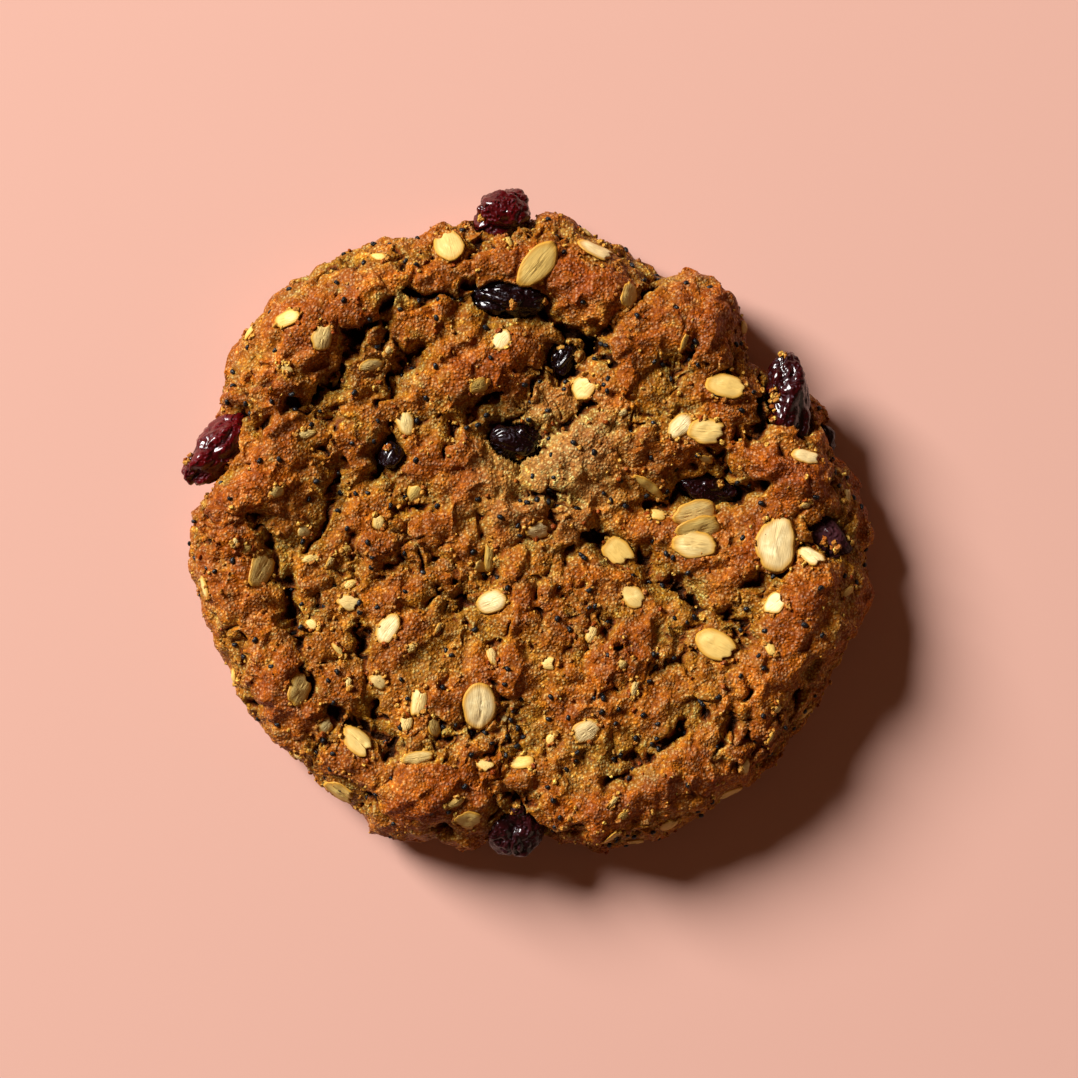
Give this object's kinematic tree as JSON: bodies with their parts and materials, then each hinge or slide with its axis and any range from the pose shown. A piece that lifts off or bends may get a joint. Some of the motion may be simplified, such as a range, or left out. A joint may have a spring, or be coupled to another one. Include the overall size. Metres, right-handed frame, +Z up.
{
  "type": "oat and cranberry cookie",
  "caption": "Large round baked oat cookie with a cracked, lumpy crust, oat flakes and poppy seeds fused to the top, and dried cranberries lying in pockets of the dough.",
  "frame": {"origin": "on the flat underside, at the middle of the object's bounding box seen from above", "axes": "+Z up out of the baked top, along the shortest extent; +Y points to the side where one cranberry stands out of the rim at the top of the picture; +X to the picture's right"},
  "size_m": [0.1033, 0.1, 0.0175],
  "materials": {
    "dough": "matte, sandy, golden brown baked crust with cream oat flakes and blue-black poppy seeds",
    "cranberry": "glossy, wrinkled, very dark red skin of dried fruit"
  },
  "bodies": {
    "root": {"dough": "dough", "cranberry_left": "cranberry", "cranberry_top": "cranberry", "cranberry_upper_middle": "cranberry", "cranberry_centre": "cranberry", "cranberry_right_upper": "cranberry", "cranberry_right_middle": "cranberry", "cranberry_right_lower": "cranberry", "cranberry_bottom": "cranberry", "cranberry_small_upper": "cranberry", "cranberry_small_left": "cranberry", "cranberry_edge_tip": "cranberry"}
  },
  "joints": []
}
